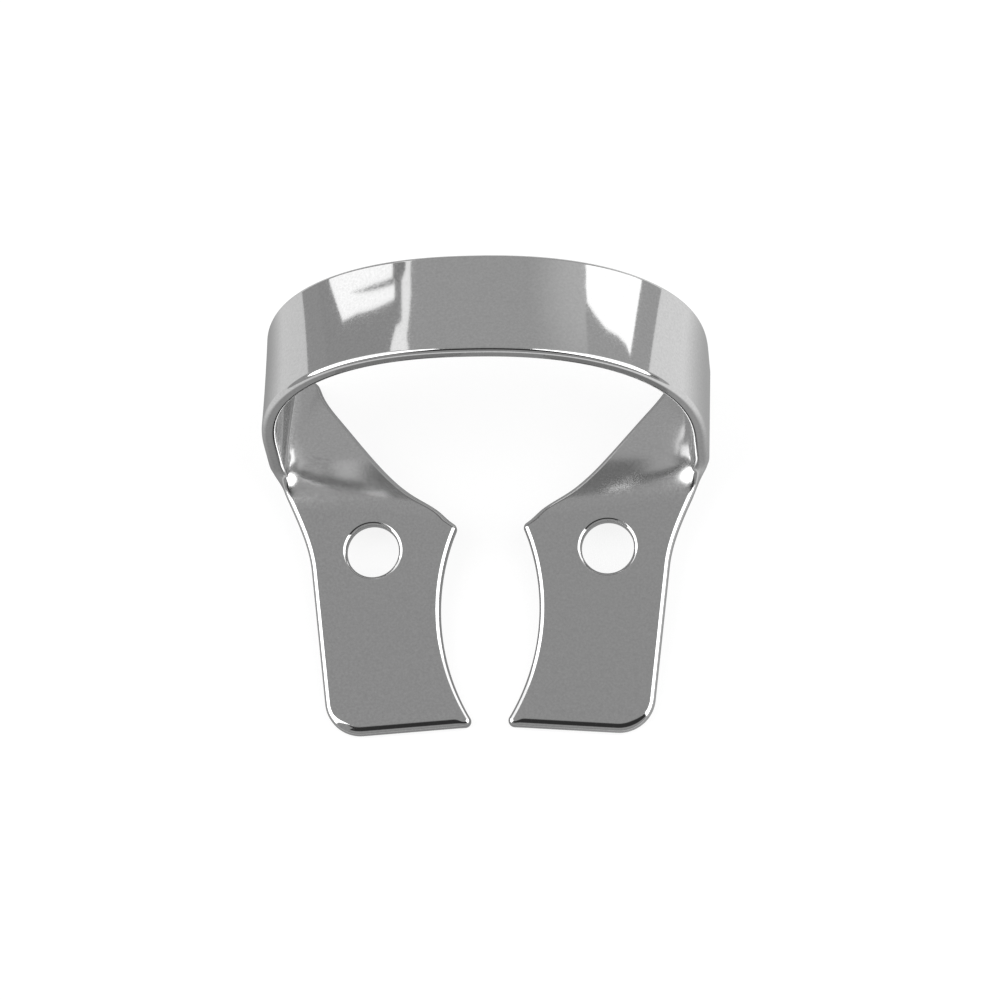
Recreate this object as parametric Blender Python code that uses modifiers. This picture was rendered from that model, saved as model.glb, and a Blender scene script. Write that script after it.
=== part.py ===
"""Wingless rubber dam clamp for a molar, made as one strip of spring steel.

The strip arches over the tooth as a bow, folds inward at the foot of each leg and runs out
into two flat jaws. Each jaw has a hollowed gripping edge with a prong at either end and one
round hole for the forceps. The shape is worked out in millimetres in the plane of the jaws:
+X to the right, +Y away from the mouth opening (towards the bow), +Z up to the crown of the
bow. At the end the clamp is turned onto its resting points and scaled to metres.
"""
import bmesh
import bpy
import numpy as np
from math import atan2, cos, pi, radians, sin, tan
from mathutils import Matrix, Vector

MM = 0.001

# Strip
STRIP_WIDTH = 5.37
THICKNESS = 0.72

# Bow: the arch stands on the jaws' middle plane and leans back, away from the jaws
BOW_SPAN = 22.06          # over the outer faces
BOW_RISE = 12.25          # jaws' middle plane to the outer face of the crown, along the arch
BOW_LEAN = radians(17.0)
BOW_Y = 1.15              # near edge of the arch, where it would meet the jaws' plane
BOW_FULLNESS = 2.28       # 2 is an ellipse, more is squarer
SPRING_HEIGHT = 3.3       # height at which the legs stand upright
FOOT_HEIGHT = 1.2         # height at which the legs start to fold inward

# Fold: its inner edge dips under the jaws at the heel and climbs to the distal prong
HEEL_RADIUS = 1.55
HEEL_DROP = 2.3           # below the jaws' middle plane
HEEL_Y = 6.45
FOLD_EDGE = (             # shares of the way from the distal prong to the heel: across, along, down
    (0.953, 0.925, 0.843),
    (0.799, 0.709, 0.472),
    (0.560, 0.432, 0.161),
    (0.295, 0.201, 0.032),
    (0.116, 0.091, 0.007),
    (0.049, 0.034, 0.0),
)
FOLD_BIAS = 0.85          # below 1, rows stand closer together at the shoulder

# Jaws, right half, in the jaws' plane
PRONG_DISTAL = (1.62, -1.50)
PRONG_MESIAL = (0.71, -11.60)
DISTAL_ROUND = 0.3
MESIAL_ROUND = 0.31
GRIP_RADIUS = 10.8        # hollow of the gripping edge
SHOULDER_IN = 0.49        # outer edge, where the fold ends: inward of the leg
SHOULDER_Y = 0.25
WAIST_IN = 1.72           # outer edge, where it becomes straight: inward of the leg
WAIST_Y = -3.6
OUTER_TAPER = radians(6.3)
FRONT_SLOPE = radians(4.0)
CORNER_RADIUS = 1.8

# Forceps holes
HOLE_X = 5.88
HOLE_Y = -2.69
HOLE_RADIUS = 1.31
HOLE_LIP = 0.2

# Edge rounding
JAW_ROUND = 0.27
BOW_ROUND = 0.17

# Fineness
BOW_ROWS = 26
FOLD_ROWS = 22
GRIP_ROWS = 14
PRONG_ROWS = 4
SWEEP_ROWS = 8
CORNER_ROWS = 8
COLUMNS = 6
ROUND_SEGMENTS = 2
HOLE_SIDES = 40

ARCH_UP = np.array([0.0, sin(BOW_LEAN), cos(BOW_LEAN)])
ACROSS = np.array([0.0, cos(BOW_LEAN), -sin(BOW_LEAN)])
SIDE = np.array([1.0, 0.0, 0.0])
LEG_X = (BOW_SPAN - THICKNESS) / 2
CROWN = BOW_RISE - THICKNESS / 2
CORNER = np.array([LEG_X, BOW_Y])    # where the leg's outer edge would meet the jaws' plane
SHOULDER = np.array([LEG_X - SHOULDER_IN, SHOULDER_Y])
WAIST = np.array([LEG_X - WAIST_IN, WAIST_Y])
HEEL = np.array([LEG_X - HEEL_RADIUS, HEEL_Y, -HEEL_DROP])
FRONT = np.array([cos(FRONT_SLOPE), -sin(FRONT_SLOPE)])    # along the front edge, outward


def unit(vector):
    return np.array(vector, float) / np.linalg.norm(vector)


def evenly(points, count, bias=1.0):
    """Return count points along a polyline, at equal steps unless bias changes their spacing."""
    points = np.array(points)
    steps = np.linalg.norm(np.diff(points, axis=0), axis=1)
    along = np.concatenate([[0.0], np.cumsum(steps)])
    wanted = along[-1] * np.linspace(0.0, 1.0, count) ** bias
    return np.column_stack([np.interp(wanted, along, points[:, axis]) for axis in range(points.shape[1])])


def smooth_curve(points, start, end, samples=240):
    """Return a dense cubic spline through the points, with the given end directions."""
    points = np.array(points, float)
    gaps = np.linalg.norm(np.diff(points, axis=0), axis=1)
    knots = np.concatenate([[0.0], np.cumsum(gaps)])
    last = len(points) - 1
    matrix = np.eye(last + 1)
    slopes = np.zeros_like(points)
    slopes[0], slopes[last] = unit(start), unit(end)
    for i in range(1, last):
        before, after = gaps[i - 1], gaps[i]
        matrix[i, i - 1], matrix[i, i], matrix[i, i + 1] = after, 2 * (before + after), before
        slopes[i] = 3 * (after / before * (points[i] - points[i - 1])
                         + before / after * (points[i + 1] - points[i]))
    slopes = np.linalg.solve(matrix, slopes)
    curve = []
    for place in np.linspace(0.0, knots[-1], samples):
        i = min(np.searchsorted(knots, place, side="right") - 1, last - 1)
        t = (place - knots[i]) / gaps[i]
        curve.append((2 * t**3 - 3 * t**2 + 1) * points[i] + (t**3 - 2 * t**2 + t) * gaps[i] * slopes[i]
                     + (3 * t**2 - 2 * t**3) * points[i + 1] + (t**3 - t**2) * gaps[i] * slopes[i + 1])
    return np.array(curve)


def bow_edge(across):
    """Middle of the strip's thickness from the crown to the foot, at a place across its width."""
    angles = np.linspace(0.0, pi / 2, 400)
    x = LEG_X * np.sin(angles) ** (2 / BOW_FULLNESS)
    height = SPRING_HEIGHT + (CROWN - SPRING_HEIGHT) * np.cos(angles).clip(0) ** (2 / BOW_FULLNESS)
    x = np.append(x, LEG_X)
    height = np.append(height, FOOT_HEIGHT)
    edge = evenly(np.column_stack([x, height]), BOW_ROWS + 1)
    start = np.array([0.0, BOW_Y, 0.0]) + across * ACROSS
    return start + edge[:, :1] * SIDE + edge[:, 1:] * ARCH_UP


def near_fold():
    """Outer edge of the strip from the foot of the leg to the shoulder of the jaw."""
    foot, corner, shoulder = bow_edge(0.0)[-1], np.append(CORNER, 0.0), np.append(SHOULDER, 0.0)
    t = np.linspace(0.0, 1.0, 120)[:, None]
    curve = (1 - t) ** 2 * foot + 2 * t * (1 - t) * corner + t**2 * shoulder
    return evenly(curve, FOLD_ROWS + 1, FOLD_BIAS)


def far_fold():
    """Inner edge of the strip from the foot, round the heel and up to the distal prong."""
    foot = bow_edge(STRIP_WIDTH)[-1]
    halfway = (1 - cos(pi / 4)) * HEEL_RADIUS
    side = np.array([LEG_X - halfway, (foot[1] + HEEL_Y) / 2, halfway - HEEL_DROP])
    prong = np.array([*PRONG_DISTAL, 0.0])
    edge = prong + np.array(FOLD_EDGE) * (HEEL - prong)
    return evenly(smooth_curve([foot, side, HEEL, *edge], -ARCH_UP, prong - edge[-1]), FOLD_ROWS + 1)


def rounded_corner(before, corner, after, radius, count):
    """Points of an arc that rounds the corner between two straight edges."""
    corner = np.array(corner, float)
    to_before, to_after = unit(np.array(before) - corner), unit(np.array(after) - corner)
    half = np.arccos(to_before @ to_after) / 2
    first = corner + to_before * radius / tan(half)
    centre = corner + unit(to_before + to_after) * radius / sin(half)
    arm = first - centre
    turn = (pi - 2 * half) * np.sign(to_after[0] * to_before[1] - to_after[1] * to_before[0])
    angles = atan2(arm[1], arm[0]) + np.linspace(0.0, 1.0, count) * turn
    return centre + radius * np.column_stack([np.cos(angles), np.sin(angles)])


def grip_edge():
    """Inner edge of the right jaw: the distal prong, the hollow and the mesial prong."""
    prong, mesial = np.array(PRONG_DISTAL), np.array(PRONG_MESIAL)
    chord = mesial - prong
    middle = (prong + mesial) / 2
    away = np.array([chord[1], -chord[0]]) / np.linalg.norm(chord)
    centre = middle + away * np.sqrt(GRIP_RADIUS**2 - (chord @ chord) / 4)
    first = np.arctan2(*(prong - centre)[::-1])
    last = np.arctan2(*(mesial - centre)[::-1])
    first -= 2.2 * DISTAL_ROUND / GRIP_RADIUS
    last += 2.2 * MESIAL_ROUND / GRIP_RADIUS
    angles = np.linspace(first, last, GRIP_ROWS)
    hollow = centre + GRIP_RADIUS * np.column_stack([np.cos(angles), np.sin(angles)])
    fold_end = far_fold()[-1][:2]
    distal_tip = rounded_corner(fold_end, prong, hollow[0], DISTAL_ROUND, PRONG_ROWS)
    mesial_tip = rounded_corner(hollow[-1], mesial, mesial + FRONT, MESIAL_ROUND, PRONG_ROWS)
    return np.vstack([distal_tip, hollow, mesial_tip])


def outer_edge():
    """Outer edge of the right jaw from the shoulder to the end of the rounded front corner."""
    flare = SHOULDER - CORNER
    straight = np.array([-sin(OUTER_TAPER), -cos(OUTER_TAPER)])
    mesial = np.array(PRONG_MESIAL)
    sweep = evenly(smooth_curve([SHOULDER, WAIST], flare, straight), SWEEP_ROWS + 1)[1:]
    lengths = np.linalg.solve(np.column_stack([straight, -FRONT]), mesial - WAIST)
    corner = WAIST + lengths[0] * straight
    return np.vstack([sweep, rounded_corner(WAIST, corner, mesial, CORNER_RADIUS, CORNER_ROWS + 1)])


def half_sheet():
    """Mesh of the middle of the steel, right half: rows over bow and fold, one face for the jaw."""
    near = np.vstack([bow_edge(0.0), near_fold()[1:]])
    far = np.vstack([bow_edge(STRIP_WIDTH), far_fold()[1:]])
    mesh = bmesh.new()
    rows = []
    for start, end in zip(near, far):
        places = np.linspace(0.0, 1.0, COLUMNS + 1)
        rows.append([mesh.verts.new(Vector((1 - p) * start + p * end) * MM) for p in places])
    for row, following in zip(rows, rows[1:]):
        for i in range(COLUMNS):
            mesh.faces.new([row[i], following[i], following[i + 1], row[i + 1]])
    rim = np.vstack([outer_edge(), grip_edge()[::-1]])
    mesh.faces.new(rows[-1][::-1] + [mesh.verts.new(Vector((x, y, 0.0)) * MM) for x, y in rim])
    return mesh


def new_object(name, mesh, collection):
    obj = bpy.data.objects.new(name, mesh)
    collection.objects.link(obj)
    return obj


def evaluated_mesh(obj):
    graph = bpy.context.evaluated_depsgraph_get()
    return bpy.data.meshes.new_from_object(obj.evaluated_get(graph))


def sheet_blank(collection):
    """The bent strip with square edges: the half mirrored, then given its thickness."""
    shape = half_sheet()
    mesh = bpy.data.meshes.new("clamp_sheet")
    shape.to_mesh(mesh)
    shape.free()
    obj = new_object("clamp_sheet", mesh, collection)
    mirror = obj.modifiers.new("Mirror", "MIRROR")
    mirror.use_axis = (True, False, False)
    mirror.merge_threshold = 0.00001
    solid = obj.modifiers.new("Solidify", "SOLIDIFY")
    solid.thickness = THICKNESS * MM
    solid.offset = 0.0
    solid.use_even_offset = True
    blank = evaluated_mesh(obj)
    bpy.data.objects.remove(obj)
    return blank


def weigh_edges(mesh):
    """Mark the square edges to be rounded, more on the jaws than on the bow."""
    shape = bmesh.new()
    shape.from_mesh(mesh)
    weights = shape.edges.layers.float.new("bevel_weight_edge")
    for edge in shape.edges:
        if len(edge.link_faces) == 2 and edge.calc_face_angle(0.0) > radians(50):
            middle = (edge.verts[0].co + edge.verts[1].co) / 2 / MM
            share = min(max(middle.z / SPRING_HEIGHT, 0.0), 1.0)
            edge[weights] = 1.0 + share * (BOW_ROUND / JAW_ROUND - 1.0)
    shape.to_mesh(mesh)
    shape.free()


def hole_cutter(name, x, collection):
    """A turned plug whose ends flare, so that the hole gets rounded lips."""
    top = THICKNESS / 2
    profile = [(0.0, top + 0.4), (HOLE_RADIUS + HOLE_LIP, top + 0.4)]
    for angle in np.linspace(radians(10), radians(90), 4):
        profile.append((HOLE_RADIUS + HOLE_LIP * (1 - sin(angle)), top - HOLE_LIP * (1 - cos(angle))))
    profile += [(r, -z) for r, z in reversed(profile)]
    mesh = bpy.data.meshes.new(name)
    places = [(r * MM, 0.0, z * MM) for r, z in profile]
    mesh.from_pydata(places, [(i, i + 1) for i in range(len(places) - 1)], [])
    obj = new_object(name, mesh, collection)
    obj.location = Vector((x, HOLE_Y, 0.0)) * MM
    obj.hide_render = True
    obj.display_type = "WIRE"
    screw = obj.modifiers.new("Screw", "SCREW")
    screw.steps = screw.render_steps = HOLE_SIDES
    screw.use_merge_vertices = True
    screw.merge_threshold = 0.00001
    return obj


def steel():
    material = bpy.data.materials.new("polished_steel")
    material.use_nodes = True
    shader = material.node_tree.nodes["Principled BSDF"]
    shader.inputs["Base Color"].default_value = (0.62, 0.62, 0.63, 1.0)
    shader.inputs["Metallic"].default_value = 1.0
    shader.inputs["Roughness"].default_value = 0.08
    return material


def turned(places, tilt):
    return places @ np.array([[1, 0, 0], [0, cos(tilt), sin(tilt)], [0, -sin(tilt), cos(tilt)]])


def stand_on_floor(obj):
    """Turn the clamp about X until heels and front edges touch, and centre it over the origin."""
    places = np.array([v.co for v in evaluated_mesh(obj).vertices])
    tilt = 0.0
    for _ in range(30):
        lowest = []
        for end in (places[places[:, 1] > 0.0], places[places[:, 1] < 0.0]):
            end = turned(end, tilt)
            lowest.append(end[end[:, 2].argmin()])
        heel, front = lowest
        tilt -= atan2(heel[2] - front[2], heel[1] - front[1])
    low, high = turned(places, tilt).min(axis=0), turned(places, tilt).max(axis=0)
    shift = Vector((0.0, -(low[1] + high[1]) / 2, -low[2]))
    obj.matrix_world = Matrix.Translation(shift) @ Matrix.Rotation(tilt, 4, "X")


def main():
    for obj in list(bpy.data.objects):
        bpy.data.objects.remove(obj)
    scene = bpy.context.scene.collection
    clamp_parts = bpy.data.collections.new("rubber_dam_clamp")
    cutters = bpy.data.collections.new("cutters")
    scene.children.link(clamp_parts)
    scene.children.link(cutters)

    blank = sheet_blank(clamp_parts)
    weigh_edges(blank)
    clamp = new_object("clamp", blank, clamp_parts)
    clamp.data.materials.append(steel())
    bevel = clamp.modifiers.new("Bevel", "BEVEL")
    bevel.limit_method = "WEIGHT"
    bevel.width = JAW_ROUND * MM
    bevel.segments = ROUND_SEGMENTS
    bevel.use_clamp_overlap = False
    plugs = []
    for side, x in (("right", HOLE_X), ("left", -HOLE_X)):
        cutter = hole_cutter("forceps_hole_" + side, x, cutters)
        cut = clamp.modifiers.new("Hole " + side, "BOOLEAN")
        cut.operation = "DIFFERENCE"
        cut.object = cutter
        plugs.append(cutter)
    bpy.context.view_layer.update()
    stand_on_floor(clamp)
    for cutter in plugs:
        cutter.matrix_world = clamp.matrix_world @ cutter.matrix_world
    clamp.data.shade_smooth()
    clamp.data.set_sharp_from_angle(angle=radians(40))


main()
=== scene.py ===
"""Looks of the rubber dam clamp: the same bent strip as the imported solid, with finely rounded edges.

The strip is worked out in millimetres in the plane of the jaws, as in the solid: +X right, +Y towards
the bow, +Z up. Its skin is made of rows over bow and fold and of rings round the flat jaws, and every
point keeps the direction its surface faces, so that the polished steel mirrors its surroundings cleanly.
"""
from math import cos, pi, radians, sin, tan

import bpy
import numpy as np
from mathutils import Matrix, Vector
from mathutils.geometry import delaunay_2d_cdt


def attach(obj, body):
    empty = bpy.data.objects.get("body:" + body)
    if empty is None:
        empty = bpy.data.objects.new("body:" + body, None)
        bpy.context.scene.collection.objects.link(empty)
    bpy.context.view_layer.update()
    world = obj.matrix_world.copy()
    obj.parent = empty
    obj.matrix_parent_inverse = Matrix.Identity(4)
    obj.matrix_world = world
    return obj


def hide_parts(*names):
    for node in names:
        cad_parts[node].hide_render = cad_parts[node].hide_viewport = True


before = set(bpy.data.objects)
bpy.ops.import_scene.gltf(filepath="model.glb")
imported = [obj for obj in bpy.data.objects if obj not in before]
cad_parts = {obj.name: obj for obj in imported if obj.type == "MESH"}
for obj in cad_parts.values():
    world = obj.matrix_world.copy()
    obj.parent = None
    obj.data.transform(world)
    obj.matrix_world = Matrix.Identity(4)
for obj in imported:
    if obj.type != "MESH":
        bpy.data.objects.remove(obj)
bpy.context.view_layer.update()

MM = 0.001

# Strip and bow: the solid's sizes, some of them fitted a little closer to the outline
STRIP_WIDTH = 5.46
THICKNESS = 0.72
BOW_SPAN = 22.05
BOW_RISE = 12.25
BOW_LEAN = radians(17.0)
BOW_Y = 1.03
BOW_FULLNESS = 2.28
SPRING_HEIGHT = 3.22
FOOT_HEIGHT = 1.5
CURL = 0.14               # bending left the strip this hollow across its outer face
STEEPNESS_PEAK = 1.3      # the bow's own measure of steepness where it is largest

# Fold
HEEL_RADIUS = 1.55
HEEL_DROP = 2.3
HEEL_Y = 6.45
FOLD_EDGE = (
    (0.953, 0.925, 0.843),
    (0.799, 0.709, 0.472),
    (0.560, 0.432, 0.161),
    (0.295, 0.201, 0.032),
    (0.116, 0.091, 0.007),
    (0.049, 0.034, 0.0),
)
FOLD_BIAS = 0.85

# Jaws
PRONG_DISTAL = (1.62, -1.50)
PRONG_MESIAL = (0.71, -11.60)
DISTAL_ROUND = 0.3
MESIAL_ROUND = 0.31
GRIP_RADIUS = 10.8
SHOULDER_IN = 0.54
SHOULDER_Y = -0.18
WAIST_IN = 1.71
WAIST_Y = -3.66
OUTER_TAPER = radians(6.3)
FRONT_SLOPE = radians(4.0)
CORNER_RADIUS = 1.8
HOLE_X = 5.88
HOLE_Y = -2.69
HOLE_RADIUS = 1.31
HOLE_LIP = 0.2
TIP_REACH = 2.2           # how far a prong's rounding cuts the hollow back, in its radii

# Edge rounding
JAW_ROUND = 0.27
BOW_ROUND = 0.17
NEAR_ROUND = 0.25         # bow's edge on the jaws' side
FRONT_ROUND = 0.50        # in the plane of the jaw, over the front edges
FRONT_DEPTH = 0.30        # through the thickness there
FRONT_FADE = (-0.9, 0.5)   # where it starts and is full, from the middle of the front corner
TIP_FADE = 0.5            # where it ends, before the mesial prong
LEAN_FADE = 0.9           # along the jaw's side, from the fold's last line

# Fineness
BOW_ROWS = 130
FOLD_ROWS = 120
SKIN_COLUMNS = 14
ROUND_STEPS = 7
HOLE_SIDES = 96
CURVE_SAMPLES = 4000
SWEEP_POINTS, SIDE_POINTS, CORNER_POINTS, FACE_POINTS = 40, 40, 30, 50
MESIAL_POINTS, HOLLOW_POINTS, DISTAL_POINTS = 14, 60, 16
RIM_SAG = 0.001           # keeps the fold's last line off a dead straight in the flat
SETTLE_ROUNDS = 30

# Steel
STEEL_DARK = (0.56, 0.56, 0.56, 1.0)
STEEL_LIGHT = (0.76, 0.76, 0.76, 1.0)
ROUGHNESS_LOW = 0.05
ROUGHNESS_HIGH = 0.08
BEND_ROUGHNESS = 0.11     # added where the strip was bent at the fold
GRAIN = 0.12
GRAIN_DEPTH = 0.0002
WAVES = 1.6
WAVES_DEPTH = 0.0008
GRAIN_SPREAD = (0.3, 0.7)
BEND_LIFT = (2.6, 3.6)    # height over the floor at which the bend's roughness has faded
BEND_START = (0.8, 2.0)   # distance behind the middle at which it sets in

# Studio, in metres and radiance
TABLE_SIZE = 4.0
TABLE_WHITE = 0.88
TABLE_LEFT = 0.79
TABLE_RIGHT = 0.91
TABLE_FALLOFF = 0.02
TABLE_CENTRE = (-0.001, 0.006)
SHADE_DEPTH = 0.62        # front to back against left to right
SHADE = 0.36              # share of the table's light left under the clamp, as the steel mirrors it
SHADE_FROM, SHADE_TO = 0.009, 0.024
PAPER_GLOW = 1.07         # the table's own light to the camera
CAMERA_SHADE = 0.2        # share of the table's own shade that the camera sees
CEILING = 0.376
BACK_CEILING = 0.436
BACK_BLEND = 0.5
WALL = 0.32
WALL_TOP = 22.0
WALL_BLEND = 8.0
ROOM_DARK = 0.04
DARK_FROM, DARK_TO = 12.0, 48.0
DARK_BLEND = 0.07
SPILL_HEADING = (52.0, 38.0)
SPILL_REACH = 30.0
SPILL = 0.16
STUDIO_CENTRE = (0.0, 0.004, 0.009)
# Each card: radiance, distance, the heading it is square to, and the headings of its corners
CARDS = {
    "left_softbox": (
        1.42, 0.6, (-60.0, 40.0),
        ((-75.0, 13.2), (-60.9, 15.9), (-51.5, 18.6), (-47.8, 26.2), (-41.6, 34.0), (-36.3, 39.9),
         (-40.9, 44.2), (-44.0, 48.5), (-60.0, 70.0), (-75.0, 70.0)),
    ),
    "strip_light": (
        1.17, 0.6, (-32.0, 40.0),
        ((-36.1, 44.2), (-33.0, 40.9), (-30.4, 37.8), (-32.1, 35.9), (-31.3, 31.2), (-27.5, 26.0),
         (-19.0, 27.0), (-23.3, 33.1), (-26.7, 36.2), (-28.3, 40.4), (-30.5, 44.3), (-33.8, 47.8),
         (-38.0, 53.0), (-40.0, 53.0)),
    ),
    "boom_arm": (
        0.36, 0.5, (-47.0, 34.0),
        ((-54.0, 25.2), (-46.9, 35.9), (-39.4, 43.6), (-38.6, 42.3), (-46.5, 34.7)),
    ),
    "boom_head": (
        0.3, 0.5, (-39.2, 45.6),
        ((-43.0, 45.0), (-41.9, 47.3), (-40.0, 48.6), (-37.6, 48.4), (-36.2, 46.8), (-36.2, 44.8),
         (-37.6, 43.2), (-40.6, 42.9)),
    ),
    "left_screen": (
        0.36, 0.7, (-60.0, 30.0),
        ((-150.0, 3.0), (-27.0, 3.0), (-28.0, 26.0), (-31.0, 36.0), (-37.0, 46.0), (-60.0, 72.0),
         (-150.0, 60.0)),
    ),
    "left_wall": (
        0.378, 0.1, (-80.0, 0.0),
        ((-150.0, -7.0), (-10.0, -7.0), (-10.0, 2.9), (-150.0, 2.9)),
    ),
    "left_key": (
        3.0, 0.5, (-95.0, 40.0),
        ((-68.0, 12.0), (-68.0, 75.0), (-125.0, 75.0), (-125.0, 12.0)),
    ),
    "right_softbox": (
        1.6, 0.6, (60.0, 38.0),
        ((48.8, 9.0), (49.3, 12.5), (48.0, 17.6), (44.9, 24.0), (43.2, 30.0), (41.7, 35.4),
         (43.8, 38.5), (46.7, 41.3), (64.0, 66.0), (75.0, 68.0), (75.0, 14.5), (62.6, 12.1),
         (55.2, 10.4)),
    ),
    "right_screen": (
        0.45, 0.7, (50.0, 20.0),
        ((30.0, 3.0), (31.5, 20.0), (34.6, 25.8), (36.9, 29.8), (39.7, 33.9), (43.8, 38.5),
         (46.7, 41.3), (75.0, 40.0), (75.0, 3.0)),
    ),
    "right_wall": (
        0.45, 0.165, (75.0, 0.0),
        ((10.0, -5.0), (145.0, -5.0), (145.0, 2.5), (10.0, 2.5)),
    ),
    "right_key": (
        3.0, 0.5, (95.0, 40.0),
        ((68.0, 12.0), (68.0, 75.0), (125.0, 75.0), (125.0, 12.0)),
    ),
}

ARCH_UP = np.array([0.0, sin(BOW_LEAN), cos(BOW_LEAN)])
ACROSS = np.array([0.0, cos(BOW_LEAN), -sin(BOW_LEAN)])
LEG_X = (BOW_SPAN - THICKNESS) / 2
CROWN = BOW_RISE - THICKNESS / 2
CORNER = np.array([LEG_X, BOW_Y])
SHOULDER = np.array([LEG_X - SHOULDER_IN, SHOULDER_Y])
WAIST = np.array([LEG_X - WAIST_IN, WAIST_Y])
HEEL = np.array([LEG_X - HEEL_RADIUS, HEEL_Y, -HEEL_DROP])


def unit(vectors):
    vectors = np.array(vectors, float)
    return vectors / np.linalg.norm(vectors, axis=-1, keepdims=True)


def evenly(points, count, bias=1.0):
    points = np.array(points)
    steps = np.linalg.norm(np.diff(points, axis=0), axis=1)
    along = np.concatenate([[0.0], np.cumsum(steps)])
    wanted = along[-1] * np.linspace(0.0, 1.0, count) ** bias
    return np.column_stack([np.interp(wanted, along, points[:, axis]) for axis in range(points.shape[1])])


def smooth_curve(points, start, end):
    """Dense cubic spline through the points, with the given end directions."""
    points = np.array(points, float)
    gaps = np.linalg.norm(np.diff(points, axis=0), axis=1)
    knots = np.concatenate([[0.0], np.cumsum(gaps)])
    last = len(points) - 1
    matrix = np.eye(last + 1)
    slopes = np.zeros_like(points)
    slopes[0], slopes[last] = unit(start), unit(end)
    for i in range(1, last):
        before, after = gaps[i - 1], gaps[i]
        matrix[i, i - 1], matrix[i, i], matrix[i, i + 1] = after, 2 * (before + after), before
        slopes[i] = 3 * (after / before * (points[i] - points[i - 1])
                         + before / after * (points[i + 1] - points[i]))
    slopes = np.linalg.solve(matrix, slopes)
    places = np.linspace(0.0, knots[-1], CURVE_SAMPLES)
    spans = np.minimum(np.searchsorted(knots, places, side="right") - 1, last - 1)
    t = ((places - knots[spans]) / gaps[spans])[:, None]
    gap = gaps[spans][:, None]
    return ((2 * t**3 - 3 * t**2 + 1) * points[spans] + (t**3 - 2 * t**2 + t) * gap * slopes[spans]
            + (3 * t**2 - 2 * t**3) * points[spans + 1] + (t**3 - t**2) * gap * slopes[spans + 1])


def bow_edge(across):
    angles = np.linspace(0.0, pi / 2, 20000)
    x = LEG_X * np.sin(angles) ** (2 / BOW_FULLNESS)
    height = SPRING_HEIGHT + (CROWN - SPRING_HEIGHT) * np.cos(angles).clip(0) ** (2 / BOW_FULLNESS)
    edge = evenly(np.column_stack([np.append(x, LEG_X), np.append(height, FOOT_HEIGHT)]), BOW_ROWS + 1)
    start = np.array([0.0, BOW_Y, 0.0]) + across * ACROSS
    return start + edge[:, :1] * np.array([1.0, 0.0, 0.0]) + edge[:, 1:] * ARCH_UP


def near_fold():
    foot, corner, shoulder = bow_edge(0.0)[-1], np.append(CORNER, 0.0), np.append(SHOULDER, 0.0)
    t = np.linspace(0.0, 1.0, CURVE_SAMPLES)[:, None]
    curve = (1 - t) ** 2 * foot + 2 * t * (1 - t) * corner + t**2 * shoulder
    return evenly(curve, FOLD_ROWS + 1, FOLD_BIAS)


def far_fold():
    foot = bow_edge(STRIP_WIDTH)[-1]
    halfway = (1 - cos(pi / 4)) * HEEL_RADIUS
    side = np.array([LEG_X - halfway, (foot[1] + HEEL_Y) / 2, halfway - HEEL_DROP])
    prong = np.array([*PRONG_DISTAL, 0.0])
    edge = prong + np.array(FOLD_EDGE) * (HEEL - prong)
    return evenly(smooth_curve([foot, side, HEEL, *edge], -ARCH_UP, prong - edge[-1]), FOLD_ROWS + 1)


def arc_between(before, corner, after, radius, count):
    """Arc that rounds a corner between two straight edges."""
    corner = np.array(corner, float)
    to_before, to_after = unit(np.array(before) - corner), unit(np.array(after) - corner)
    half = np.arccos(to_before @ to_after) / 2
    first = corner + to_before * radius / tan(half)
    centre = corner + unit(to_before + to_after) * radius / sin(half)
    arm = first - centre
    turn = (pi - 2 * half) * np.sign(to_after[0] * to_before[1] - to_after[1] * to_before[0])
    angles = np.arctan2(arm[1], arm[0]) + np.linspace(0.0, 1.0, count) * turn
    return centre + radius * np.column_stack([np.cos(angles), np.sin(angles)])


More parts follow.
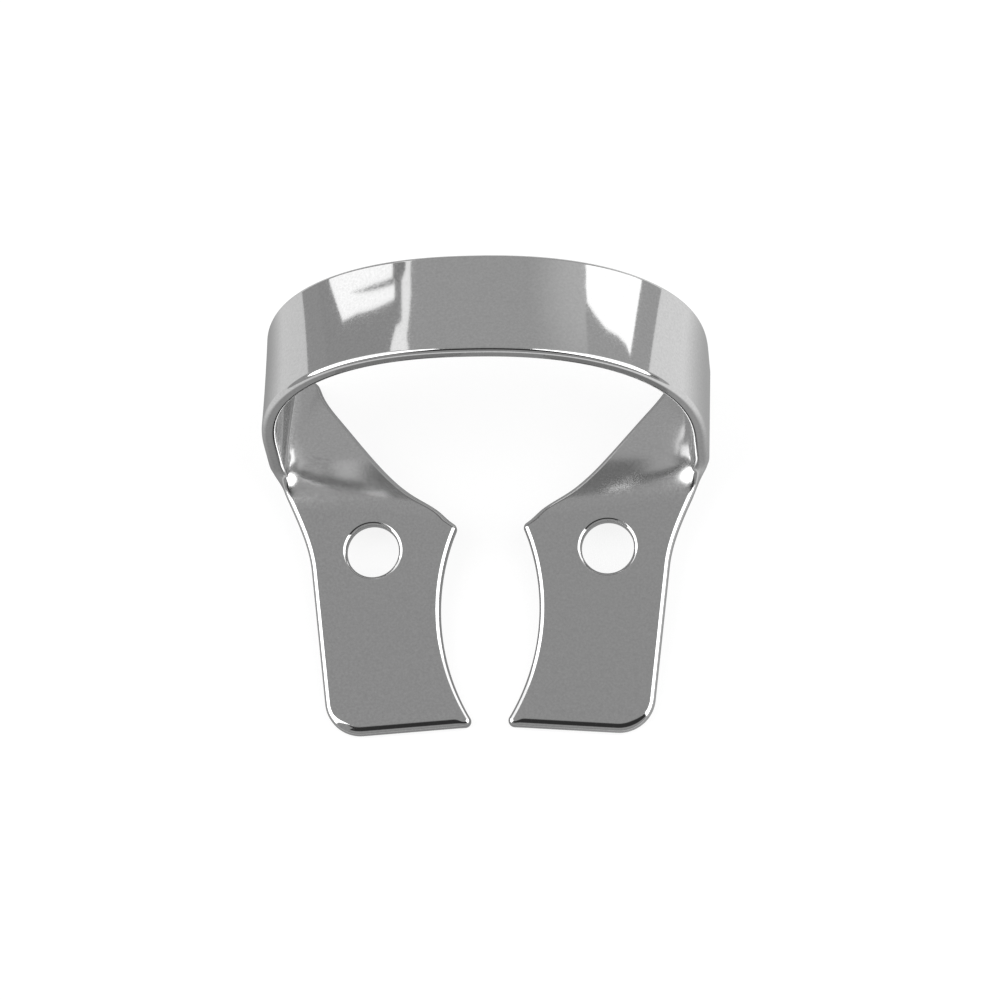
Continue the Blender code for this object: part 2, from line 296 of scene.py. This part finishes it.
def jaw_outline():
    """Rim of the right jaw from the shoulder round the front and both prongs to the fold's end.

    Returns the points, the inward direction at each, that direction leaned to meet the fold's last line,
    and how far each edge's rounding reaches.
    """
    flare = SHOULDER - CORNER
    straight = np.array([-sin(OUTER_TAPER), -cos(OUTER_TAPER)])
    front = np.array([cos(FRONT_SLOPE), -sin(FRONT_SLOPE)])
    mesial, distal = np.array(PRONG_MESIAL), np.array(PRONG_DISTAL)
    sweep = evenly(smooth_curve([SHOULDER, WAIST], flare, straight), SWEEP_POINTS)
    lengths = np.linalg.solve(np.column_stack([straight, -front]), mesial - WAIST)
    corner = WAIST + lengths[0] * straight
    corner_arc = arc_between(WAIST, corner, mesial, CORNER_RADIUS, CORNER_POINTS)

    chord = mesial - distal
    away = np.array([chord[1], -chord[0]]) / np.linalg.norm(chord)
    centre = (distal + mesial) / 2 + away * np.sqrt(GRIP_RADIUS**2 - (chord @ chord) / 4)
    first = np.arctan2(*(distal - centre)[::-1])
    last = np.arctan2(*(mesial - centre)[::-1])
    first -= TIP_REACH * DISTAL_ROUND / GRIP_RADIUS
    last += TIP_REACH * MESIAL_ROUND / GRIP_RADIUS
    angles = np.linspace(last, first, HOLLOW_POINTS)
    hollow = centre + GRIP_RADIUS * np.column_stack([np.cos(angles), np.sin(angles)])
    mesial_tip = arc_between(corner, mesial, hollow[0], MESIAL_ROUND, MESIAL_POINTS)
    fold_end = far_fold()[-1][:2]
    distal_tip = arc_between(hollow[-1], distal, fold_end, DISTAL_ROUND, DISTAL_POINTS)

    side = evenly([sweep[-1], corner_arc[0]], SIDE_POINTS)[1:-1]
    face = evenly([corner_arc[-1], mesial_tip[0]], FACE_POINTS)[1:-1]
    runs = [sweep, side, corner_arc, face, mesial_tip, hollow, distal_tip, [fold_end]]
    points = np.vstack(runs)
    tangent = np.gradient(points, axis=0)
    steps = np.linalg.norm(np.diff(points, axis=0), axis=1)
    forward = unit(np.diff(points, axis=0))
    tangent[1:-1] = forward[:-1] * steps[1:, None] + forward[1:] * steps[:-1, None]
    tangent[0], tangent[-1] = unit(flare), unit(fold_end - distal)
    tangent = unit(tangent)
    inward = np.column_stack([tangent[:, 1], -tangent[:, 0]])

    along = np.concatenate([[0.0], np.cumsum(steps)])
    starts = np.cumsum([0] + [len(run) for run in runs])
    at_front = along[starts[2] + CORNER_POINTS // 2]
    at_tip = along[starts[4]]
    last_line = fold_end - SHOULDER
    lean = (last_line @ tangent[0]) / (last_line @ inward[0])
    lean = lean * (1 - along / LEAN_FADE).clip(0) ** 2
    leaned = inward + lean[:, None] * tangent
    stops = [at_front + FRONT_FADE[0], at_front + FRONT_FADE[1], at_tip - TIP_FADE, at_tip]
    share = np.interp(along, stops, [0.0, 1.0, 1.0, 0.0])
    share = share * share * (3 - 2 * share)
    reach = JAW_ROUND + share * (FRONT_ROUND - JAW_ROUND)
    depth = JAW_ROUND + share * (FRONT_DEPTH - JAW_ROUND)
    return points, inward, leaned, reach, depth


class Skin:
    """Collects points with their facing directions, and faces."""

    def __init__(self):
        self.places, self.facing, self.faces = [], [], []

    def add(self, place, facing):
        self.places.append(np.array(place, float))
        self.facing.append(np.array(facing, float))
        return len(self.places) - 1

    def strip(self, first, second):
        for a, b, c, d in zip(first, first[1:], second[1:], second):
            self.faces.append((a, b, c, d))


def rounding(reach, depth):
    """Stations of a quarter round: distance in from the edge, half thickness, and facing as (out, up)."""
    stations = []
    for phi in np.linspace(0.0, pi / 2, ROUND_STEPS + 1):
        out, up = depth * cos(phi), reach * sin(phi)
        size = np.hypot(out, up)
        half = THICKNESS / 2 - depth + depth * sin(phi)
        stations.append((reach * (1 - cos(phi)), half, out / size, up / size))
    return stations


def add_row(skin, near, far, near_along, far_along, near_round, far_round, curl):
    """Closed loop round the strip's section from its near to its far edge; returns upper and lower points."""
    ruling = far - near
    length = np.linalg.norm(ruling)
    across = ruling / length

    def surface_at(v):
        along = unit((1 - v) * near_along + v * far_along)
        normal = unit(np.cross(ruling, along))
        place = near + v * ruling + curl * (1 - (2 * v - 1) ** 2) * normal
        return place, unit(normal + 4 * curl * (2 * v - 1) / length * across)

    upper, lower = [], []
    edges = ((0, unit(near_along), near_round, 1), (1, unit(far_along), far_round, -1))
    for edge, tangent, radius, sign in edges:
        slant = np.linalg.norm(np.cross(across, tangent))
        inward = unit(sign * (across - (across @ tangent) * tangent))
        ups, downs = [], []
        for distance, half, out, up in rounding(radius, radius):
            v = edge + sign * distance / (slant * length)
            place, normal = surface_at(v)
            ups.append((place + half * normal, -out * inward + up * normal, v))
            downs.append((place - half * normal, -out * inward - up * normal, v))
        if edge:
            ups, downs = ups[::-1], downs[::-1]
        else:
            first_v = ups[-1][2]
        upper.append(ups)
        lower.append(downs)
    last_v = upper[1][0][2]
    middle_up, middle_down = [], []
    for v in np.linspace(first_v, last_v, SKIN_COLUMNS + 1)[1:-1]:
        place, normal = surface_at(v)
        middle_up.append((place + THICKNESS / 2 * normal, normal, v))
        middle_down.append((place - THICKNESS / 2 * normal, -normal, v))
    ups = [skin.add(p, n) for p, n, _ in upper[0] + middle_up + upper[1]]
    downs = [skin.add(p, n) for p, n, _ in lower[0] + middle_down + lower[1]]
    return ups, downs


def half_skin():
    skin = Skin()
    near = np.vstack([bow_edge(0.0), near_fold()[1:]])
    far = np.vstack([bow_edge(STRIP_WIDTH), far_fold()[1:]])
    near_along, far_along = np.gradient(near, axis=0), np.gradient(far, axis=0)
    near_along[0] = far_along[0] = (1.0, 0.0, 0.0)
    near_along[-1] = (*(SHOULDER - CORNER), 0.0)
    far_along[-1] = (*(np.array(PRONG_DISTAL) - far[-1][:2]), 0.0)
    near_along[-1] *= np.linalg.norm(near[-1] - near[-2]) / np.linalg.norm(near_along[-1])
    far_along[-1] *= np.linalg.norm(far[-1] - far[-2]) / np.linalg.norm(far_along[-1])
    tangent = unit(near_along)
    steepness = tangent[:, 0] * (1 - tangent @ ARCH_UP) / STEEPNESS_PEAK
    rows = []
    for i in range(len(near)):
        radii = []
        for point, bow_round in ((near[i], NEAR_ROUND), (far[i], BOW_ROUND)):
            share = min(max(point[2] / SPRING_HEIGHT, 0.0), 1.0)
            radii.append(JAW_ROUND + share * (bow_round - JAW_ROUND))
        curl = CURL * steepness[i] if i <= BOW_ROWS else 0.0
        rows.append(add_row(skin, near[i], far[i], near_along[i], far_along[i], *radii, curl))
    for (up, down), (next_up, next_down) in zip(rows, rows[1:]):
        skin.strip(up, next_up)
        skin.strip(next_down, down)
        skin.faces.append((up[0], next_up[0], next_down[0], down[0]))
        skin.faces.append((up[-1], down[-1], next_down[-1], next_up[-1]))

    points, inward, leaned, reach, depth = jaw_outline()
    up, down = rows[-1]
    count = ROUND_STEPS + 1
    rings_up = [[up[k]] for k in range(count)]
    rings_down = [[down[k]] for k in range(count)]
    for j in range(1, len(points) - 1):
        for k, (distance, half, out, lift) in enumerate(rounding(reach[j], depth[j])):
            x, y = points[j] + leaned[j] * distance
            aside = -out * inward[j]
            rings_up[k].append(skin.add((x, y, half), (*aside, lift)))
            rings_down[k].append(skin.add((x, y, -half), (*aside, -lift)))
    for k in range(count):
        rings_up[k].append(up[-1 - k])
        rings_down[k].append(down[-1 - k])
    for outer, inner in zip(rings_up, rings_up[1:]):
        skin.strip(inner, outer)
    for outer, inner in zip(rings_down, rings_down[1:]):
        skin.strip(outer, inner)
    skin.strip(rings_up[0], rings_down[0])

    lips_up, lips_down = [], []
    for distance, half, out, lift in rounding(HOLE_LIP, HOLE_LIP):
        ring_up, ring_down = [], []
        for turn in np.linspace(0.0, 2 * pi, HOLE_SIDES, endpoint=False):
            arm = np.array([cos(turn), sin(turn)])
            x, y = np.array([HOLE_X, HOLE_Y]) + arm * (HOLE_RADIUS + distance)
            ring_up.append(skin.add((x, y, half), (*(-out * arm), lift)))
            ring_down.append(skin.add((x, y, -half), (*(-out * arm), -lift)))
        lips_up.append(ring_up)
        lips_down.append(ring_down)
    for outer, inner in zip(lips_up[1:], lips_up):
        skin.strip(outer + outer[:1], inner + inner[:1])
    for outer, inner in zip(lips_down[1:], lips_down):
        skin.strip(inner + inner[:1], outer + outer[:1])
    skin.strip(lips_up[0] + lips_up[0][:1], lips_down[0] + lips_down[0][:1])

    rim_up = rings_up[-1] + up[count:-count][::-1]
    rim_down = rings_down[-1] + down[count:-count][::-1]
    flat = [Vector(skin.places[i][:2]) for i in rim_up + lips_up[-1]]
    ruled = len(up) - 2 * count
    for k in range(ruled):
        flat[len(rings_up[-1]) + k].y -= RIM_SAG * sin(pi * (k + 1) / (ruled + 1))
    loops = [list(range(len(rim_up))), list(range(len(rim_up), len(flat)))]
    edges = [(loop[i], loop[(i + 1) % len(loop)]) for loop in loops for i in range(len(loop))]
    found = delaunay_2d_cdt(flat, edges, [], 0, 1e-9)
    outline = np.array([p[:] for p in flat[:len(rim_up)]])
    hole = np.array([HOLE_X, HOLE_Y])
    for triangle in found[2]:
        origin = [found[3][i][0] for i in triangle]
        corners = np.array([flat[i][:] for i in origin])
        middle = corners.mean(axis=0)
        if np.linalg.norm(middle - hole) < HOLE_RADIUS + HOLE_LIP or not within(middle, outline):
            continue
        (ax, ay), (bx, by), (cx, cy) = corners
        if (bx - ax) * (cy - ay) - (by - ay) * (cx - ax) < 0:
            origin = origin[::-1]
        ups, downs = rim_up + lips_up[-1], rim_down + lips_down[-1]
        skin.faces.append([ups[i] for i in origin])
        skin.faces.append([downs[i] for i in reversed(origin)])
    return skin


def within(point, outline):
    """Whether a point lies inside a closed outline, by counting the edges to its right."""
    a, b = outline, np.roll(outline, -1, axis=0)
    spans = (a[:, 1] > point[1]) != (b[:, 1] > point[1])
    a, b = a[spans], b[spans]
    crossing = a[:, 0] + (point[1] - a[:, 1]) * (b[:, 0] - a[:, 0]) / (b[:, 1] - a[:, 1])
    return (crossing > point[0]).sum() % 2 == 1


def standing(places):
    """Turn and shift that rest heels and front edges on the floor, centred over the origin."""
    tilt = 0.0
    for _ in range(SETTLE_ROUNDS):
        turned = places @ np.array(Matrix.Rotation(tilt, 3, "X")).T
        heels, fronts = turned[places[:, 1] > 0.0], turned[places[:, 1] < 0.0]
        heel, front = heels[heels[:, 2].argmin()], fronts[fronts[:, 2].argmin()]
        tilt -= np.arctan2(heel[2] - front[2], heel[1] - front[1])
    turned = places @ np.array(Matrix.Rotation(tilt, 3, "X")).T
    low, high = turned.min(axis=0), turned.max(axis=0)
    shift = Vector((0.0, -(low[1] + high[1]) / 2, -low[2])) * MM
    return Matrix.Translation(shift) @ Matrix.Rotation(tilt, 4, "X")


def steel_piece():
    skin = half_skin()
    places, facing = np.array(skin.places), unit(skin.facing)
    mirror = np.array([-1.0, 1.0, 1.0])
    aside = np.flatnonzero(np.abs(places[:, 0]) > 1e-9)
    twin = np.arange(len(places))
    twin[aside] = len(places) + np.arange(len(aside))
    faces = list(skin.faces) + [[int(twin[i]) for i in reversed(face)] for face in skin.faces]
    places = np.vstack([places, places[aside] * mirror])
    facing = np.vstack([facing, facing[aside] * mirror])
    placed = standing(places)
    turn = np.array(placed.to_3x3())
    mesh = bpy.data.meshes.new("clamp_steel")
    mesh.from_pydata((places @ turn.T * MM + np.array(placed.translation)).tolist(), [], faces)
    mesh.shade_smooth()
    mesh.normals_split_custom_set_from_vertices((facing @ turn.T).tolist())
    obj = bpy.data.objects.new("clamp_steel", mesh)
    bpy.context.scene.collection.objects.link(obj)
    return obj, placed


def wire(tree, kind, inputs, output=0, **settings):
    """Adds a node, sets or links its inputs and returns the chosen output."""
    node = tree.nodes.new(kind)
    for name, value in settings.items():
        setattr(node, name, value)
    for socket, value in inputs.items():
        if isinstance(value, bpy.types.NodeSocket):
            tree.links.new(value, node.inputs[socket])
        else:
            node.inputs[socket].default_value = value
    return node.outputs[output] if node.outputs else None


def remap(tree, value, low, high, low_out, high_out):
    return wire(tree, "ShaderNodeMapRange", {"Value": value, "From Min": low, "From Max": high,
                                             "To Min": low_out, "To Max": high_out},
                interpolation_type="SMOOTHSTEP")


def steel_material():
    """Electropolished steel: a clear mirror with the faint grain and waviness of rolled strip."""
    material = bpy.data.materials.new("polished_steel")
    material.use_nodes = True
    tree = material.node_tree
    shader = tree.nodes["Principled BSDF"]
    shader.inputs["Metallic"].default_value = 1.0
    place = tree.nodes.new("ShaderNodeTexCoord").outputs["Object"]
    grain = wire(tree, "ShaderNodeTexNoise", {"Vector": place, "Scale": 1 / (GRAIN * MM), "Detail": 3.0})
    waves = wire(tree, "ShaderNodeTexNoise", {"Vector": place, "Scale": 1 / (WAVES * MM), "Detail": 2.0})
    rippled = wire(tree, "ShaderNodeBump", {"Height": waves, "Distance": WAVES_DEPTH * MM})
    grained = wire(tree, "ShaderNodeBump", {"Height": grain, "Distance": GRAIN_DEPTH * MM, "Normal": rippled})
    specks = tree.nodes.new("ShaderNodeMix")
    specks.data_type = "RGBA"
    tree.links.new(grain, specks.inputs["Factor"])
    specks.inputs[6].default_value, specks.inputs[7].default_value = STEEL_DARK, STEEL_LIGHT
    tree.links.new(specks.outputs[2], shader.inputs["Base Color"])
    height = wire(tree, "ShaderNodeSeparateXYZ", {"Vector": place}, "Z")
    backwards = wire(tree, "ShaderNodeSeparateXYZ", {"Vector": place}, "Y")
    low = remap(tree, height, BEND_LIFT[0] * MM, BEND_LIFT[1] * MM, BEND_ROUGHNESS, 0.0)
    back = remap(tree, backwards, BEND_START[0] * MM, BEND_START[1] * MM, 0.0, 1.0)
    bent = wire(tree, "ShaderNodeMath", {0: low, 1: back}, operation="MULTIPLY")
    polish = remap(tree, grain, *GRAIN_SPREAD, ROUGHNESS_LOW, ROUGHNESS_HIGH)
    rough = wire(tree, "ShaderNodeMath", {0: polish, 1: bent}, operation="ADD")
    tree.links.new(rough, shader.inputs["Roughness"])
    tree.links.new(grained, shader.inputs["Normal"])
    return material


def bare_tree(holder):
    holder.use_nodes = True
    holder.node_tree.nodes.clear()
    return holder.node_tree


def staged(name, corners, material):
    """One flat face of the studio, which isn't part of the object."""
    mesh = bpy.data.meshes.new(name)
    mesh.from_pydata([tuple(corner) for corner in corners], [], [list(range(len(corners)))])
    mesh.materials.append(material)
    obj = bpy.data.objects.new(name, mesh)
    bpy.context.scene.collection.objects.link(obj)
    return obj


def heading(azimuth, elevation):
    """Direction from the clamp: degrees right of straight behind the bow, and degrees above the table."""
    turn, lift = radians(azimuth), radians(elevation)
    return np.array([sin(turn) * cos(lift), cos(turn) * cos(lift), sin(lift)])


def card(name, strength, distance, facing, corners):
    """Glowing studio card, square to one heading, with its corners in the given headings."""
    material = bpy.data.materials.new(name)
    tree = bare_tree(material)
    light = wire(tree, "ShaderNodeEmission", {"Strength": strength})
    wire(tree, "ShaderNodeOutputMaterial", {"Surface": light})
    middle = heading(*facing)
    rays = [heading(*corner) for corner in corners]
    rim = [np.array(STUDIO_CENTRE) + ray * distance / (ray @ middle) for ray in rays]
    staged(name, rim, material).visible_camera = False


def table():
    """White table: plain white to the camera, shaded round the clamp and dimmer on the left in the steel."""
    material = bpy.data.materials.new("white_table")
    tree = bare_tree(material)
    rays = tree.nodes.new("ShaderNodeLightPath").outputs
    place = tree.nodes.new("ShaderNodeTexCoord").outputs["Object"]
    sideways = wire(tree, "ShaderNodeSeparateXYZ", {"Vector": place})
    falloff = remap(tree, sideways, -TABLE_FALLOFF, TABLE_FALLOFF, TABLE_LEFT, TABLE_RIGHT)
    away = wire(tree, "ShaderNodeVectorMath", {0: place, 1: (*TABLE_CENTRE, 0.0)}, operation="SUBTRACT")
    away = wire(tree, "ShaderNodeVectorMath", {0: away, 1: (1.0, SHADE_DEPTH, 1.0)}, operation="MULTIPLY")
    reach = wire(tree, "ShaderNodeVectorMath", {0: away}, "Value", operation="LENGTH")
    shade = remap(tree, reach, SHADE_FROM, SHADE_TO, SHADE, 1.0)
    glow = wire(tree, "ShaderNodeMath", {0: falloff, 1: shade}, operation="MULTIPLY")
    mirrored = wire(tree, "ShaderNodeEmission", {"Strength": glow})
    white = wire(tree, "ShaderNodeEmission", {"Strength": PAPER_GLOW})
    paper = wire(tree, "ShaderNodeBsdfDiffuse", {"Color": (TABLE_WHITE, TABLE_WHITE, TABLE_WHITE, 1.0)})
    seen = wire(tree, "ShaderNodeMixShader", {0: CAMERA_SHADE, 1: white, 2: paper})
    surface = wire(tree, "ShaderNodeMixShader", {0: rays["Is Camera Ray"], 1: mirrored, 2: seen})
    wire(tree, "ShaderNodeOutputMaterial", {"Surface": surface})
    half = TABLE_SIZE / 2
    staged("table", [(-half, -half, 0), (half, -half, 0), (half, half, 0), (-half, half, 0)], material)


def room():
    """Grey room, dark behind the camera and brighter round the right lamp; plain white to the camera."""
    world = bpy.data.worlds.new("room")
    tree = bare_tree(world)
    rays = tree.nodes.new("ShaderNodeLightPath").outputs
    towards = tree.nodes.new("ShaderNodeTexCoord").outputs["Generated"]
    lift = wire(tree, "ShaderNodeSeparateXYZ", {"Vector": towards}, "Z")
    backwards = wire(tree, "ShaderNodeSeparateXYZ", {"Vector": towards}, "Y")
    ceiling = remap(tree, backwards, 0.0, BACK_BLEND, CEILING, BACK_CEILING)
    low, high = sin(radians(WALL_TOP - WALL_BLEND)), sin(radians(WALL_TOP + WALL_BLEND))
    walls = remap(tree, lift, low, high, WALL, ceiling)
    limits = []
    for edge in (DARK_FROM, DARK_TO):
        away = (0.0, -cos(radians(edge)), -sin(radians(edge)))
        beyond = wire(tree, "ShaderNodeVectorMath", {0: towards, 1: away}, "Value", operation="DOT_PRODUCT")
        limits.append(remap(tree, beyond, -DARK_BLEND, DARK_BLEND, 0.0, 1.0))
    dark = wire(tree, "ShaderNodeMath", {0: limits[0], 1: limits[1]}, operation="SUBTRACT")
    walls = wire(tree, "ShaderNodeMix", {"Factor": dark, "A": walls, "B": ROOM_DARK})
    beside = wire(tree, "ShaderNodeVectorMath", {0: towards, 1: tuple(heading(*SPILL_HEADING))}, "Value",
                  operation="DOT_PRODUCT")
    spill = remap(tree, beside, cos(radians(SPILL_REACH)), 1.0, 0.0, SPILL)
    seen = wire(tree, "ShaderNodeMath", {0: walls, 1: spill}, operation="ADD")
    strength = wire(tree, "ShaderNodeMix", {"Factor": rays["Is Camera Ray"], "A": seen, "B": 1.0})
    background = wire(tree, "ShaderNodeBackground", {"Color": (1.0, 1.0, 1.0, 1.0), "Strength": strength})
    wire(tree, "ShaderNodeOutputWorld", {"Surface": background})
    bpy.context.scene.world = world


def studio():
    table()
    room()
    for name, (strength, distance, facing, corners) in CARDS.items():
        card(name, strength, distance, facing, corners)


# Camera: where the photograph was taken from, in the frame of the jaws
VIEW_DISTANCE = 224.1
VIEW_TILT = 0.2162
VIEW_ASIDE = 0.0955
VIEW_ROLL = 0.0023
VIEW_TARGET = (0.476, -0.133)
PIXELS_PER_MM = 20.0
PICTURE_WIDTH = 1000.0
SENSOR_WIDTH = 36.0
CLIP = (0.005, 20.0)


def photo_camera(placed):
    forward = cos(VIEW_TILT)
    to_camera = np.array([sin(VIEW_ASIDE) * forward, -sin(VIEW_TILT), cos(VIEW_ASIDE) * forward])
    up = unit(np.array([0.0, 1.0, 0.0]) - to_camera * to_camera[1])
    right = np.cross(up, to_camera)
    across = cos(VIEW_ROLL) * right + sin(VIEW_ROLL) * up
    upward = cos(VIEW_ROLL) * up - sin(VIEW_ROLL) * right
    place = (np.array([*VIEW_TARGET, 0.0]) + VIEW_DISTANCE * to_camera) * MM
    matrix = Matrix([list(row) for row in zip(across, upward, to_camera, place)] + [[0.0, 0.0, 0.0, 1.0]])
    data = bpy.data.cameras.new("photo_camera")
    data.sensor_width = SENSOR_WIDTH
    data.lens = SENSOR_WIDTH * PIXELS_PER_MM * VIEW_DISTANCE / PICTURE_WIDTH
    data.clip_start, data.clip_end = CLIP
    camera = bpy.data.objects.new("photo_camera", data)
    bpy.context.scene.collection.objects.link(camera)
    camera.matrix_world = placed @ matrix
    bpy.context.scene.camera = camera


def build():
    clamp, placed = steel_piece()
    clamp.data.materials.append(steel_material())
    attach(clamp, "root")
    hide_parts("clamp")
    bpy.context.view_layer.update()
    studio()
    photo_camera(placed)


build()
bpy.context.scene.view_settings.view_transform = "Standard"
